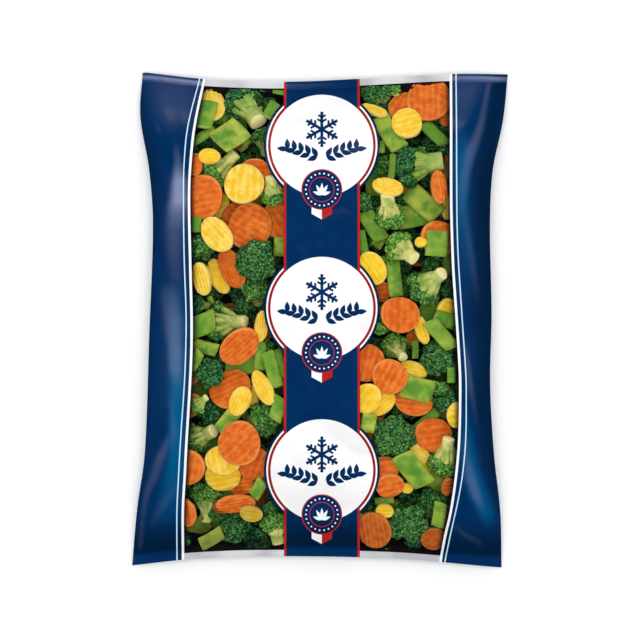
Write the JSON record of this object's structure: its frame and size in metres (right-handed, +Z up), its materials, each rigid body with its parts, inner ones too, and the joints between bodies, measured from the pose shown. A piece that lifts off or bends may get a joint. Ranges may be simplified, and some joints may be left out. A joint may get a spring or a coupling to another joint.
{
  "type": "frozen vegetable bag",
  "caption": "Filled clear-fronted pillow bag of frozen mixed vegetables, sealed flat at both ends, lying on its back with its printed front up.",
  "frame": {"origin": "under the middle of the bag's outline, on the surface it lies on", "axes": "+Z up through the printed front, +Y along the bag towards its top seal, +X to the right of the front as it is read"},
  "size_m": [0.2944, 0.3876, 0.0724],
  "materials": {
    "film_navy": "glossy printed film",
    "film_white": "glossy printed film",
    "film_red": "glossy printed film",
    "film_clear": "clear glossy film",
    "film_seal": "clear crimped film, doubled",
    "broccoli": "frosted vegetable",
    "carrot": "frosted vegetable",
    "yellow_carrot": "frosted vegetable",
    "bean": "frosted vegetable"
  },
  "bodies": {
    "root": {"bag": "film_navy"}
  },
  "joints": []
}
